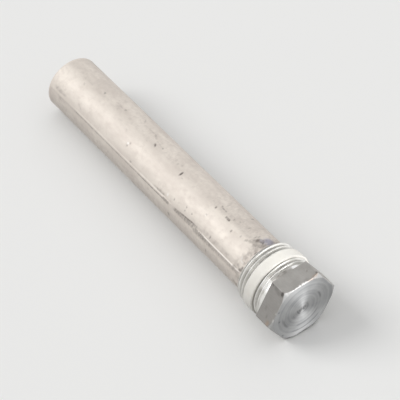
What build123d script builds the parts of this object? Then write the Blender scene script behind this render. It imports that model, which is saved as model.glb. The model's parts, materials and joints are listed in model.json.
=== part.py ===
from build123d import *

import math
import os

# Screw-in sacrificial anode: a magnesium rod on a hexagon plug with a G 3/4 pipe thread.
# Units are millimetres. The axis of the anode is X, and the rod points along +X into the tank.
# The origin is on the axis, in the under face of the head, which seats on the tank.
# +Z goes through the middle of one flat of the hexagon, and the flat opposite is underneath.

# Thread of the neck, G 3/4. The neck is drawn plain at the crests of the thread.
THREAD_MAJOR_DIAMETER = 26.441
THREAD_PITCH = 1.814
THREAD_DEPTH_PER_PITCH = 0.640327  # of the 55 degree pipe thread form

# Hexagon head, for a 27 mm spanner
FLATS_OVER_THREAD = 0.559  # how much wider the head is across its flats than the thread
HEAD_THICKNESS = 9.3  # with the collar
HEAD_CHAMFER_ANGLE = 30.0  # of the cone, against the end face
COLLAR_LENGTH = 1.25  # of the round collar between the hexagon and the under face
UNDER_FACE_RIM = 0.2  # flat ring of under face on the collar, outside the neck
END_FACE_OVERRUN = 0.3  # how far the round end face runs past the flats, towards the corners

# Threaded neck
NECK_LENGTH = 13.8
NECK_END_CHAMFER = 0.9

# Blind hole in the neck, tapped for the core
CORE_HOLE_OVERRUN = 0.2  # how far the hole's full width runs past the under face into the head
DRILL_POINT_ANGLE = 118.0

# Sealing ring on the thread
RING_WALL = 1.21
RING_WIDTH = 4.8
RING_SETBACK = 3.9  # from the under face of the head to the ring
RING_EDGE_RADIUS = 0.4
RING_CLEARANCE = 0.05  # between the ring's bore and its seat, on the radius

# Magnesium rod
ROD_DIAMETER = 23.2
ROD_LENGTH = 126.5
ROD_FAR_EDGE_RADIUS = 1.0
ROD_NEAR_EDGE_RADIUS = 0.4

# Parting seam of the casting, on two opposite sides of the rod
SEAM_WIDTH = 1.0
SEAM_HEIGHT = 0.2
SEAM_ROOT_DEPTH = 0.3  # how far the ridge reaches into the rod, so that it is rooted
SEAM_FLANK_ANGLE = 60.0
SEAM_ANGLE = 26.0  # from +Y towards +Z, round the axis

# Steel core, screwed into the plug and cast into the rod
CORE_DIAMETER = 8.0
CORE_TIP_CHAMFER = 1.0
CORE_COVER = 8.0  # magnesium left between the tip of the core and the far end

# Sizes that follow
neck_radius = THREAD_MAJOR_DIAMETER / 2
thread_depth = THREAD_DEPTH_PER_PITCH * THREAD_PITCH
ring_seat_radius = neck_radius - thread_depth / 2
flat_radius = (THREAD_MAJOR_DIAMETER + FLATS_OVER_THREAD) / 2
corner_radius = flat_radius / math.cos(math.radians(30))
chamfer_slope = math.tan(math.radians(HEAD_CHAMFER_ANGLE))
collar_radius = neck_radius + UNDER_FACE_RIM
end_face_radius = flat_radius + END_FACE_OVERRUN
cone_length = (corner_radius - end_face_radius) * chamfer_slope
ring_bore_radius = ring_seat_radius + RING_CLEARANCE
ring_outer_radius = ring_bore_radius + RING_WALL
ring_end = RING_SETBACK + RING_WIDTH
core_radius = CORE_DIAMETER / 2
drill_point_length = core_radius / math.tan(math.radians(DRILL_POINT_ANGLE / 2))
core_start = -CORE_HOLE_OVERRUN
rod_radius = ROD_DIAMETER / 2
core_end = NECK_LENGTH + ROD_LENGTH - CORE_COVER
core_tip_outline = [
    (core_end - CORE_TIP_CHAMFER, core_radius),
    (core_end, core_radius - CORE_TIP_CHAMFER),
    (core_end, 0),
]
seam_length = ROD_LENGTH - ROD_NEAR_EDGE_RADIUS - ROD_FAR_EDGE_RADIUS

os.makedirs("parts", exist_ok=True)


# Hexagon plug, turned in one piece: hexagon, collar, neck and the blind hole for the core.
with BuildPart() as hex_plug:
    with BuildSketch(Plane.YZ.offset(-HEAD_THICKNESS)):
        RegularPolygon(radius=flat_radius, side_count=6, major_radius=False)
    extrude(amount=HEAD_THICKNESS - COLLAR_LENGTH)
    # The end face is turned with a cone round it, which cuts the six corners.
    with BuildSketch(Plane.XZ):
        with BuildLine():
            Polyline(
                (-HEAD_THICKNESS, 0),
                (-HEAD_THICKNESS, end_face_radius),
                (-HEAD_THICKNESS + cone_length, corner_radius),
                (-COLLAR_LENGTH, corner_radius),
                (-COLLAR_LENGTH, 0),
                close=True,
            )
        make_face()
    revolve(axis=Axis.X, mode=Mode.INTERSECT)
    # The ring beds into the thread, so the neck under it has the thread's effective diameter.
    with BuildSketch(Plane.XZ):
        with BuildLine():
            Polyline(
                (-COLLAR_LENGTH, 0),
                (-COLLAR_LENGTH, collar_radius),
                (0, collar_radius),
                (0, neck_radius),
                (RING_SETBACK, neck_radius),
                (RING_SETBACK, ring_seat_radius),
                (ring_end, ring_seat_radius),
                (ring_end, neck_radius),
                (NECK_LENGTH - NECK_END_CHAMFER, neck_radius),
                (NECK_LENGTH, neck_radius - NECK_END_CHAMFER),
                (NECK_LENGTH, 0),
                close=True,
            )
        make_face()
    revolve(axis=Axis.X)
    with BuildSketch(Plane.XZ):
        with BuildLine():
            Polyline(
                (core_start - drill_point_length, 0),
                (core_start, core_radius),
                (NECK_LENGTH, core_radius),
                (NECK_LENGTH, 0),
                close=True,
            )
        make_face()
    revolve(axis=Axis.X, mode=Mode.SUBTRACT)
hex_plug.part.label = "hex_plug"
export_step(hex_plug.part, "parts/hex_plug.step")


# Sealing ring: a plain soft band with rounded outer edges, which fills its seat end to end.
with BuildPart() as sealing_ring:
    with BuildSketch(Plane.YZ.offset(RING_SETBACK)):
        Circle(ring_outer_radius)
        Circle(ring_bore_radius, mode=Mode.SUBTRACT)
    extrude(amount=RING_WIDTH)
    ring_outer_edges = sealing_ring.edges().filter_by(GeomType.CIRCLE).group_by(SortBy.RADIUS)[-1]
    fillet(ring_outer_edges, RING_EDGE_RADIUS)
sealing_ring.part.label = "sealing_ring"
export_step(sealing_ring.part, "parts/sealing_ring.step")


# Magnesium rod: cast round the core, with a fine ridge where the halves of the mould met.
with BuildPart() as magnesium_rod:
    with BuildSketch(Plane.YZ.offset(NECK_LENGTH)):
        Circle(rod_radius)
    extrude(amount=ROD_LENGTH)
    rod_rims = magnesium_rod.edges().filter_by(GeomType.CIRCLE).sort_by(Axis.X)
    fillet(rod_rims[-1], ROD_FAR_EDGE_RADIUS)
    fillet(rod_rims[0], ROD_NEAR_EDGE_RADIUS)
    with BuildSketch(Plane.YZ.offset(NECK_LENGTH + ROD_NEAR_EDGE_RADIUS)):
        with PolarLocations(rod_radius + (SEAM_HEIGHT - SEAM_ROOT_DEPTH) / 2, 2, start_angle=SEAM_ANGLE):
            Trapezoid(SEAM_WIDTH, SEAM_HEIGHT + SEAM_ROOT_DEPTH, SEAM_FLANK_ANGLE, rotation=-90)
    extrude(amount=seam_length)
    with BuildSketch(Plane.XZ):
        with BuildLine():
            Polyline(
                (NECK_LENGTH, 0),
                (NECK_LENGTH, core_radius),
                *core_tip_outline,
                close=True,
            )
        make_face()
    revolve(axis=Axis.X, mode=Mode.SUBTRACT)
magnesium_rod.part.label = "magnesium_rod"
export_step(magnesium_rod.part, "parts/magnesium_rod.step")


# Steel core: a plain rod that fills the plug's hole and the rod's bore.
with BuildPart() as steel_core:
    with BuildSketch(Plane.XZ):
        with BuildLine():
            Polyline(
                (core_start, 0),
                (core_start, core_radius),
                *core_tip_outline,
                close=True,
            )
        make_face()
    revolve(axis=Axis.X)
steel_core.part.label = "steel_core"
export_step(steel_core.part, "parts/steel_core.step")
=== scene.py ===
import json
import logging
import math
from dataclasses import dataclass, field
from enum import Enum

import bpy
import numpy as np
from mathutils import Matrix, Vector


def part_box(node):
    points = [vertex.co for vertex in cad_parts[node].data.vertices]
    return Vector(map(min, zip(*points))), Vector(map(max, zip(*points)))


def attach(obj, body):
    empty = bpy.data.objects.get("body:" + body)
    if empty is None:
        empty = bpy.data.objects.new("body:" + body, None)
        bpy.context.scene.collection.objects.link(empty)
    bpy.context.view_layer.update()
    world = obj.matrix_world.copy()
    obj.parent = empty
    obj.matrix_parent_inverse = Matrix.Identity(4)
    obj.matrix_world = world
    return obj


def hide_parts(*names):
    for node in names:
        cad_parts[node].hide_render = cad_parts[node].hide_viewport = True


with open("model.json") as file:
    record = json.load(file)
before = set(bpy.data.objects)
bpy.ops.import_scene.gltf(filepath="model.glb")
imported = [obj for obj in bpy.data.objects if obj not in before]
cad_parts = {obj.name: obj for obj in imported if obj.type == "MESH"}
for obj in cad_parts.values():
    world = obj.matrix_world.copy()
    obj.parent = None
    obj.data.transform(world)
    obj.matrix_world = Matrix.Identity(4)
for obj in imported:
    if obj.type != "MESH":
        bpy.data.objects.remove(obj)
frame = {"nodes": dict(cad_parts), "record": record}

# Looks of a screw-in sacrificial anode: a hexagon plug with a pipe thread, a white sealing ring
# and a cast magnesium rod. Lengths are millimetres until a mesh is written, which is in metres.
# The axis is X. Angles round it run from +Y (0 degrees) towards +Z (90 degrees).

MM = 0.001
LAY_MAP = "lay"  # UV map: U runs once round the axis, V along the profile in metres

Array = np.ndarray
Colour = tuple[float, float, float]
Socket = bpy.types.NodeSocket
log = logging.getLogger("anode")


# ---------------------------------------------------------------------------------------------
# Shapes


def smooth_step(low: float, high: float, value: Array) -> Array:
    """Rises smoothly from 0 at low to 1 at high.

    Args:
        low: where the rise begins.
        high: where it ends; lower than low for a fall.
        value: what is measured.

    Returns:
        3t^2 - 2t^3, with t the share of the way from low to high, held between 0 and 1.
    """
    share = np.clip((value - low) / (high - low), 0.0, 1.0)
    return share * share * (3.0 - 2.0 * share)


def window(start: float, end: float, fade: float, value: Array) -> Array:
    """One between start and end, fading to zero over fade outside each of them."""
    return smooth_step(start - fade, start, value) * smooth_step(end + fade, end, value)


def angle_gap(angle: Array, centre: float) -> Array:
    """The signed turn in degrees from centre to angle, between -180 and 180."""
    return (angle - centre + 180.0) % 360.0 - 180.0


class Grain:
    """Smooth random relief in space, between 0 and 1, the same on each run."""

    SIDE = 32

    def __init__(self, seed: int) -> None:
        """Draws the random values of the lattice from a fixed seed."""
        self.values = np.random.default_rng(seed).random((self.SIDE,) * 3)

    def at(self, points: Array, cell: float) -> Array:
        """Reads the relief.

        Args:
            points: an array whose last axis is x, y, z.
            cell: edge of a lattice cell, in the same unit.

        Returns:
            The random values at the eight corners of each point's cell, blended along each
            edge by a smooth step.
        """
        place = points / cell
        base = np.floor(place).astype(int)
        share = place - base
        share = share * share * (3.0 - 2.0 * share)
        total = np.zeros(points.shape[:-1])
        for corner in np.ndindex(2, 2, 2):
            index = (base + corner) % self.SIDE
            weight = np.where(corner, share, 1.0 - share).prod(axis=-1)
            total += weight * self.values[index[..., 0], index[..., 1], index[..., 2]]
        return total

    def layers(self, points: Array, cell: float, count: int) -> Array:
        """Adds count layers of relief, each half as large and half as strong, about zero."""
        parts = [(self.at(points, cell / 2**n) - 0.5) / 2**n for n in range(count)]
        return np.sum(parts, axis=0)


@dataclass
class Skin:
    """A surface on a grid: its rows follow a profile and its columns go once round the axis."""

    x: Array  # rows by columns, mm along the axis
    radius: Array  # rows by columns, mm from the axis
    angle: Array  # one for each column, degrees
    looped: bool = False  # the profile closes on itself; otherwise it starts and ends on the axis
    finish: Array | None = None  # material index of the strip after each row
    marks: dict[str, Array] = field(default_factory=dict)  # rows by columns, read by materials

    def points(self) -> Array:
        """The grid's points in metres: x, radius times cosine, radius times sine of the angle."""
        turn = np.radians(self.angle)
        return MM * np.stack(
            [self.x, self.radius * np.cos(turn), self.radius * np.sin(turn)], axis=-1
        )

    def build(self, name: str, materials: list[bpy.types.Material]) -> bpy.types.Object:
        """Makes the mesh.

        Args:
            name: of the new piece.
            materials: its slots, in the order that finish counts them.

        Returns:
            The object, at the origin. Quads join each row to the next, and a row on the axis
            is one point, which triangles join to its neighbour row.
        """
        points = self.points()
        rows, columns = self.x.shape
        flat = points.reshape(-1, 3)
        index = np.arange(rows * columns).reshape(rows, columns)
        if not self.looped:
            keep = np.r_[0, np.arange(columns, (rows - 1) * columns + 1)]
            flat = flat[keep]
            index = index - (columns - 1)
            index[0] = 0
            index[-1] = index[-1, 0]
        next_column = np.roll(index, -1, axis=1)
        here, there = (
            (index, np.roll(index, -1, axis=0)) if self.looped else (index[:-1], index[1:])
        )
        here_next, there_next = (
            (next_column, np.roll(next_column, -1, axis=0))
            if self.looped
            else (next_column[:-1], next_column[1:])
        )
        strips = here.shape[0]
        loops = np.stack([here, here_next, there_next, there], axis=-1)
        run = self.profile_run(points)
        around = np.arange(columns) / columns
        u = np.broadcast_to(around, here.shape)
        u_next = u + 1.0 / columns
        v = np.broadcast_to(run[:strips, None], here.shape)
        v_next = np.broadcast_to(run[1 : strips + 1, None], here.shape)
        uv = np.stack(
            [
                np.stack([u, v], -1),
                np.stack([u_next, v], -1),
                np.stack([u_next, v_next], -1),
                np.stack([u, v_next], -1),
            ],
            axis=-2,
        )
        keep_corner = np.ones(loops.shape, bool)
        if not self.looped:
            keep_corner[0, :, 1] = False
            keep_corner[-1, :, 2] = False
        finish = np.zeros(strips, int) if self.finish is None else self.finish[:strips]
        face_finish = np.repeat(finish, columns)
        corners = keep_corner.sum(axis=-1).reshape(-1)

        mesh = bpy.data.meshes.new(name)
        mesh.vertices.add(len(flat))
        mesh.vertices.foreach_set("co", flat.ravel())
        mesh.loops.add(int(corners.sum()))
        mesh.loops.foreach_set("vertex_index", loops[keep_corner])
        mesh.polygons.add(len(corners))
        mesh.polygons.foreach_set("loop_start", np.r_[0, np.cumsum(corners)[:-1]])
        mesh.polygons.foreach_set("material_index", face_finish)
        mesh.polygons.foreach_set("use_smooth", np.ones(len(corners), bool))
        lay = mesh.uv_layers.new(name=LAY_MAP)
        lay.data.foreach_set("uv", uv[keep_corner].ravel())
        for mark, values in self.marks.items():
            layer = mesh.attributes.new(mark, "FLOAT", "POINT")
            spread = np.broadcast_to(values, self.x.shape).ravel()
            layer.data.foreach_set("value", spread if self.looped else spread[keep])
        mesh.update(calc_edges=True)
        mesh.validate()
        for material in materials:
            mesh.materials.append(material)
        piece = bpy.data.objects.new(name, mesh)
        bpy.context.scene.collection.objects.link(piece)
        return piece

    def profile_run(self, points: Array) -> Array:
        """The mean distance along the profile to each row, in metres, and round to the first."""
        rows = np.concatenate([points, points[:1]])
        steps = np.linalg.norm(np.diff(rows, axis=0), axis=-1).mean(axis=1)
        return np.concatenate([[0.0], np.cumsum(steps)])


class Profile:
    """Collects the rows of a profile, point by point, for all columns at once."""

    HOLD = 0.03  # mm from the end of a rounding to the row that keeps the flat beside it flat

    def __init__(self, columns: int) -> None:
        """Starts with no rows."""
        self.columns = columns
        self.x: list[Array] = []
        self.radius: list[Array] = []
        self.tags: list[str] = []

    def add(self, x: float | Array, radius: float | Array, tag: str) -> None:
        """Adds one row; a number stands for the same value in all columns."""
        self.x.append(np.broadcast_to(np.asarray(x, float), (self.columns,)).copy())
        self.radius.append(np.broadcast_to(np.asarray(radius, float), (self.columns,)).copy())
        self.tags.append(tag)

    def run(self, end: tuple, count: int, tag: str, bias: float = 1.0) -> None:
        """Adds count rows from the last one to end, at shares (n / count) to the power bias."""
        start_x, start_r = self.x[-1], self.radius[-1]
        for share in (np.arange(1, count + 1) / count) ** bias:
            self.add(
                start_x + (end[0] - start_x) * share, start_r + (end[1] - start_r) * share, tag
            )

    def corner(self, before: tuple, at: tuple, after: tuple, size: float, steps: int, tag: str) -> None:
        """Adds a rounded corner.

        Args:
            before: a point (x, radius) on the way in.
            at: the sharp corner.
            after: a point on the way out.
            size: how far the rounding reaches along each side, at most 0.45 of that side.
            steps: rows in the rounding, less one.
            tag: of its rows.

        Returns:
            Nothing. The rows lie on the parabola that touches both sides, with one more row
            on each side to hold it flat.
        """
        corner = self._pair(at)
        sides = []
        for point in (self._pair(before), self._pair(after)):
            way = point - corner
            length = np.maximum(np.hypot(*way), 1e-9)
            reach = np.minimum(size, 0.45 * length)
            hold = np.minimum(reach + self.HOLD, 0.49 * length)
            sides.append((corner + way / length * reach, corner + way / length * hold))
        (tangent_in, hold_in), (tangent_out, hold_out) = sides
        self.add(*hold_in, tag)
        for share in np.linspace(0.0, 1.0, steps):
            self.add(
                *(
                    (1 - share) ** 2 * tangent_in
                    + 2 * share * (1 - share) * corner
                    + share**2 * tangent_out
                ),
                tag,
            )
        self.add(*hold_out, tag)

    def _pair(self, point: tuple) -> Array:
        """The point's x and radius as rows over all columns."""
        return np.stack([np.broadcast_to(np.asarray(c, float), (self.columns,)) for c in point])

    def skin(self, angle: Array, **more: object) -> Skin:
        """The rows so far as a surface."""
        return Skin(np.array(self.x), np.array(self.radius), angle, **more)

    def tagged(self, *tags: str) -> Array:
        """True for each row that has one of the tags."""
        return np.isin(self.tags, tags)


# ---------------------------------------------------------------------------------------------
# Materials


class Board:
    """The nodes of a material or of the world, and short ways to add them."""

    def __init__(self, name: str, world: bool = False) -> None:
        """Makes an empty material, or world, with its shader and output."""
        self.material = bpy.data.worlds.new(name) if world else bpy.data.materials.new(name)
        self.material.use_nodes = True
        self.tree = self.material.node_tree
        self.tree.nodes.clear()
        output = self.tree.nodes.new("ShaderNodeOutputWorld" if world else "ShaderNodeOutputMaterial")
        self.shader = self.tree.nodes.new("ShaderNodeBackground" if world else "ShaderNodeBsdfPrincipled")
        self.tree.links.new(self.shader.outputs[0], output.inputs["Surface"])

    def node(self, kind: str, values: dict | None = None, **settings: object) -> bpy.types.Node:
        """Adds a node.

        Args:
            kind: Blender's name of it.
            values: for its inputs: a socket is linked and a number is set.
            settings: attributes of the node itself.

        Returns:
            The node.
        """
        node = self.tree.nodes.new(kind)
        for name, value in settings.items():
            setattr(node, name, value)
        for key, value in (values or {}).items():
            self.feed(node.inputs[key], value)
        return node

    def feed(self, socket: Socket, value: object) -> None:
        """Links a socket to the input, or sets the number or colour on it."""
        if isinstance(value, bpy.types.NodeSocket):
            self.tree.links.new(value, socket)
        elif isinstance(value, tuple) and socket.type == "RGBA":
            socket.default_value = (*value[:3], 1.0)
        else:
            socket.default_value = value

    def set(self, **inputs: object) -> None:
        """Feeds the shader's inputs; an underscore in a name stands for a space."""
        for name, value in inputs.items():
            self.feed(self.shader.inputs[name.replace("_", " ")], value)

    def place(self) -> Socket:
        """The point's place in the row frame, in metres."""
        return self.node("ShaderNodeTexCoord").outputs["Object"]

    def lay(self) -> Socket:
        """The point on the piece's own map round the axis and along the profile."""
        return self.node("ShaderNodeUVMap", uv_map=LAY_MAP).outputs["UV"]

    def mark(self, name: str) -> Socket:
        """A value kept on the piece's points."""
        return self.node("ShaderNodeAttribute", attribute_name=name).outputs["Fac"]

    def broken(self, mark: Socket, noise: Socket) -> Socket:
        """The mark's cover, made weaker and stronger in turn by the noise."""
        return self.maths("MULTIPLY", mark, self.spread(noise, 0.32, 0.62, 0.25, 1.3))

    def turned(self, rings_to_the_metre: float, drift: float) -> Socket:
        """Coordinates that run fast along the radius and slowly, without a break, round the axis.

        Args:
            rings_to_the_metre: how often noise on them changes along the radius.
            drift: how much it changes round the axis; 0 makes whole rings.

        Returns:
            The distance from the axis times the first number, and the unit vector from the
            axis towards the point times the second.
        """
        across = self.stretch(self.place(), (0.0, 1.0, 1.0))
        radius = self.node("ShaderNodeVectorMath", {0: across}, operation="LENGTH").outputs["Value"]
        radius = self.maths("MULTIPLY", radius, rings_to_the_metre)
        out = self.node("ShaderNodeVectorMath", {0: across}, operation="NORMALIZE").outputs[0]
        radius = self.node("ShaderNodeCombineXYZ", {"X": radius}).outputs[0]
        return self.node(
            "ShaderNodeVectorMath", {0: out, 1: (drift, drift, drift), 2: radius}, operation="MULTIPLY_ADD"
        ).outputs[0]

    def seen(self) -> Socket:
        """One for camera, mirror and clear rays, and zero for the light that surfaces scatter."""
        paths = self.node("ShaderNodeLightPath").outputs
        mirror = self.maths("MAXIMUM", paths["Is Glossy Ray"], paths["Is Transmission Ray"])
        return self.maths("MAXIMUM", paths["Is Camera Ray"], mirror)

    def stretch(self, vector: Socket, scale: tuple[float, float, float]) -> Socket:
        """The vector with each part multiplied."""
        return self.node(
            "ShaderNodeVectorMath", {0: vector, 1: scale}, operation="MULTIPLY"
        ).outputs[0]

    def noise(self, vector: Socket, scale: float, detail: float = 3.0, rough: float = 0.5) -> Socket:
        """Cloudy noise with scale features to the metre, about 0.5."""
        return self.node(
            "ShaderNodeTexNoise",
            {"Vector": vector, "Scale": scale, "Detail": detail, "Roughness": rough},
        ).outputs["Fac"]

    def maths(self, how: str, first: object, second: object = 0.0, third: object = 0.0) -> Socket:
        """One step of arithmetic."""
        return self.node("ShaderNodeMath", {0: first, 1: second, 2: third}, operation=how).outputs[0]

    def spread(self, value: Socket, low: float, high: float, out_low: float, out_high: float) -> Socket:
        """Maps low to high onto out_low to out_high, held at the ends."""
        return self.node(
            "ShaderNodeMapRange",
            {"Value": value, "From Min": low, "From Max": high, "To Min": out_low, "To Max": out_high},
            clamp=True,
        ).outputs["Result"]

    def blend(self, share: object, first: object, second: object, how: str = "MIX") -> Socket:
        """Mixes two colours."""
        node = self.node("ShaderNodeMix", data_type="RGBA", blend_type=how, clamp_factor=True)
        self.feed(node.inputs[0], share)
        self.feed(node.inputs[6], first)
        self.feed(node.inputs[7], second)
        return node.outputs[2]

    def bump(
        self, height: Socket, depth: float, below: Socket | None = None, strength: float = 1.0
    ) -> Socket:
        """Bends the normal as if height times depth metres stood on the surface."""
        values = {"Height": height, "Distance": depth, "Strength": strength}
        if below is not None:
            values["Normal"] = below
        return self.node("ShaderNodeBump", values).outputs["Normal"]


@dataclass(frozen=True)
class PlatedSteel:
    """Smooth zinc plate on turned steel: a soft cool sheen, with soil, painted shade and painted highlights.
    """

    name: str = "plated_steel"
    bright: Colour = (0.83, 0.82, 0.79)
    dull: Colour = (0.72, 0.71, 0.68)
    painted_highlight: Colour = (0.97, 0.965, 0.955)
    soil: Colour = (0.20, 0.18, 0.16)
    rust: Colour = (0.42, 0.22, 0.09)
    roughness: tuple[float, float] = (0.38, 0.50)
    metal: float = 0.7
    grit: float = 0.000004

    def build(self) -> bpy.types.Material:
        """Clouds tone the plate and change its gloss, and a fine grit bends the normal."""
        board = Board(self.name)
        place = board.place()
        clouds = board.noise(place, 260.0, 4.0, 0.6)
        grit = board.noise(place, 4200.0, 2.0, 0.6)
        tone = board.blend(board.spread(clouds, 0.35, 0.65, 0.0, 1.0), self.dull, self.bright)
        # On the neck the edge mark is only painted highlight: the collar and thread are lightened where the
        # lamps' reflections fall.
        tone = board.blend(board.mark("edge"), tone, self.painted_highlight)
        # On the neck the soil mark is soil and painted shade in the thread's roots, and a painted dark
        # reflection on the collar.
        tone = board.blend(board.mark("soil"), tone, self.soil)
        tone = board.blend(board.mark("rust"), tone, self.rust)
        board.set(
            Base_Color=tone,
            Metallic=self.metal,
            Roughness=board.spread(clouds, 0.3, 0.7, *self.roughness),
            Normal=board.bump(grit, self.grit),
        )
        return board.material


@dataclass(frozen=True)
class FacedSteel:
    """The end face straight from the lathe: rings of the tool, and a sheen drawn out across them."""

    name: str = "faced_steel"
    bright: Colour = (0.485, 0.485, 0.485)
    dull: Colour = (0.325, 0.33, 0.335)
    soil: Colour = (0.16, 0.16, 0.165)
    roughness: tuple[float, float] = (0.56, 0.66)
    directional: float = 0.6

    def build(self) -> bpy.types.Material:
        """Broad and fine rings are noise along the radius; soft patches lie over them."""
        board = Board(self.name)
        broad = board.noise(board.turned(950.0, 0.12), 1.0, 2.0, 0.5)
        fine = board.noise(board.turned(3600.0, 0.25), 1.0, 3.0, 0.6)
        patches = board.noise(board.turned(160.0, 1.2), 1.0, 3.0, 0.55)
        rings = board.maths("MULTIPLY_ADD", fine, 0.5, broad)
        share = board.maths("MULTIPLY_ADD", patches, 1.1, rings)
        tone = board.blend(board.spread(share, 1.0, 1.6, 0.0, 1.0), self.dull, self.bright)
        tone = board.blend(board.mark("soil"), tone, self.soil)
        board.set(
            Base_Color=tone,
            Metallic=1.0,
            Roughness=board.spread(patches, 0.3, 0.7, *self.roughness),
            Anisotropic=self.directional,
            Anisotropic_Rotation=0.25,
            Tangent=board.node("ShaderNodeTangent", direction_type="UV_MAP", uv_map=LAY_MAP).outputs[0],
            Normal=board.bump(rings, 0.00002),
        )
        return board.material


@dataclass(frozen=True)
class MattFlat:
    """The plug's flats: drawn bar with a matt plated skin, scuffed and with painted highlights along its
    edges.
    """

    name: str = "matt_plated_flats"
    skin: Colour = (0.375, 0.36, 0.34)
    worn: Colour = (0.435, 0.42, 0.40)
    # Pale worn metal and painted highlight on the edges.
    edge: Colour = (0.95, 0.93, 0.90)
    soil: Colour = (0.10, 0.09, 0.085)
    rust: Colour = (0.42, 0.22, 0.09)
    roughness: tuple[float, float] = (0.50, 0.66)
    metal: float = 0.65

    def build(self) -> bpy.types.Material:
        """Clouds of two sizes tone the skin, and fine drawing lines run along the bar.

        Where the edge mark lies, worn metal and painted highlight, the skin is pale and less of a mirror.
        """
        board = Board(self.name)
        place = board.place()
        clouds = board.noise(place, 230.0, 4.0, 0.65)
        grit = board.noise(place, 2600.0, 2.0, 0.6)
        lines = board.noise(board.stretch(place, (420.0, 2600.0, 2600.0)), 1.0, 2.0, 0.5)
        tone = board.blend(board.spread(clouds, 0.36, 0.66, 0.0, 1.0), self.skin, self.worn)
        tone = board.blend(board.spread(lines, 0.56, 0.36, 0.0, 0.06), tone, self.soil)
        edge = board.mark("edge")
        tone = board.blend(edge, tone, self.edge)
        tone = board.blend(board.broken(board.mark("soil"), clouds), tone, self.soil)
        # Painted shade: each flat is darkened by its own amount, along with dark pits on the sides.
        tone = board.blend(board.mark("pits_and_flat_shade"), tone, self.soil)
        tone = board.blend(board.mark("rust"), tone, self.rust)
        height = board.maths("MULTIPLY_ADD", grit, 0.5, lines)
        board.set(
            Base_Color=tone,
            Metallic=board.spread(edge, 0.2, 0.7, self.metal, 0.0),
            Roughness=board.spread(clouds, 0.3, 0.7, *self.roughness),
            Normal=board.bump(height, 0.000012),
        )
        return board.material


@dataclass(frozen=True)
class WhitePlastic:
    """The sealing ring: smooth white plastic, very slightly warm."""

    name: str = "white_ring_plastic"
    body: Colour = (0.885, 0.855, 0.79)
    shade: Colour = (0.86, 0.825, 0.755)
    soil: Colour = (0.42, 0.40, 0.37)
    roughness: tuple[float, float] = (0.45, 0.56)

    def build(self) -> bpy.types.Material:
        """Faint clouds of tone, and a fine skin relief."""
        board = Board(self.name)
        place = board.place()
        clouds = board.noise(place, 140.0, 3.0, 0.5)
        fine = board.noise(place, 1500.0, 2.0, 0.5)
        tone = board.blend(board.spread(clouds, 0.4, 0.7, 0.0, 1.0), self.body, self.shade)
        tone = board.blend(board.mark("soil"), tone, self.soil)
        board.set(
            Base_Color=tone,
            Roughness=board.spread(fine, 0.3, 0.7, *self.roughness),
            Specular_IOR_Level=0.3,
            Subsurface_Weight=0.6,
            Subsurface_Scale=0.002,
            Subsurface_Radius=(1.0, 1.0, 1.0),
            Normal=board.bump(fine, 0.000010),
        )
        return board.material


@dataclass(frozen=True)
class CastMagnesium:
    """Bare cast magnesium: a warm, dull silver skin with soil in its pits and along its seam, painted shade
    on its dim side and underneath, and a painted highlight on its seam's crest.
    """

    name: str = "cast_magnesium"
    bright: Colour = (0.80, 0.735, 0.665)
    dull: Colour = (0.69, 0.625, 0.565)
    soil: Colour = (0.23, 0.20, 0.18)
    pit: Colour = (0.13, 0.11, 0.10)
    bare_and_highlight: Colour = (0.93, 0.90, 0.86)
    stain: Colour = (0.31, 0.32, 0.46)
    roughness: tuple[float, float] = (0.50, 0.66)

    def build(self) -> bpy.types.Material:
        """Clouds run along the rod, and soil along its seam breaks up into short streaks round it.

        Smudges are cloudy. Fine grain and small pits bend the normal.
        """
        board = Board(self.name)
        place = board.place()
        clouds = board.noise(board.stretch(place, (70.0, 170.0, 170.0)), 1.0, 4.0, 0.6)
        mottle = board.noise(place, 520.0, 3.0, 0.6)
        grain = board.noise(place, 3000.0, 2.0, 0.6)
        streaks = board.noise(board.stretch(place, (1500.0, 520.0, 520.0)), 1.0, 4.0, 0.65)
        tone = board.blend(board.spread(clouds, 0.36, 0.64, 0.0, 1.0), self.bright, self.dull)
        tone = board.blend(board.spread(mottle, 0.50, 0.74, 0.0, 0.8), tone, self.dull)
        # Bright flecks, and a painted highlight along the seam's crest.
        tone = board.blend(board.mark("bare_and_highlight"), tone, self.bare_and_highlight)
        tone = board.blend(board.mark("stain"), tone, self.stain)
        # Soil along the seam with painted shade at its foot, and painted shade on the rod's dim side and
        # underside in both soil and smudge.
        tone = board.blend(board.broken(board.mark("soil"), streaks), tone, self.soil)
        tone = board.blend(board.broken(board.mark("smudge_and_side_shade"), mottle), tone, self.soil)
        tone = board.blend(board.mark("pit"), tone, self.pit)
        height = board.maths("MULTIPLY_ADD", mottle, 1.5, grain)
        board.set(
            Base_Color=tone,
            Metallic=0.25,
            Roughness=board.spread(mottle, 0.3, 0.7, *self.roughness),
            Normal=board.bump(height, 0.00002),
        )
        return board.material


@dataclass(frozen=True)
class DrawnSteel:
    """The hidden core: plain drawn steel with fine lines along it."""

    name: str = "drawn_core_steel"
    bright: Colour = (0.46, 0.46, 0.47)
    dull: Colour = (0.34, 0.34, 0.35)

    def build(self) -> bpy.types.Material:
        """Lines are noise that is drawn out along the axis."""
        board = Board(self.name)
        place = board.place()
        lines = board.noise(board.stretch(place, (60.0, 3500.0, 3500.0)), 1.0, 3.0, 0.5)
        board.set(
            Base_Color=board.blend(lines, self.dull, self.bright),
            Metallic=1.0,
            Roughness=board.spread(lines, 0.3, 0.7, 0.35, 0.5),
            Normal=board.bump(lines, 0.00001),
        )
        return board.material


# ---------------------------------------------------------------------------------------------
# Pieces


class Wear(Enum):
    """What a mark on a surface does to it."""

    PIT = "pit"
    RUST = "rust"
    SMEAR = "smear"
    FLECK = "fleck"
    STAIN = "stain"


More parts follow.
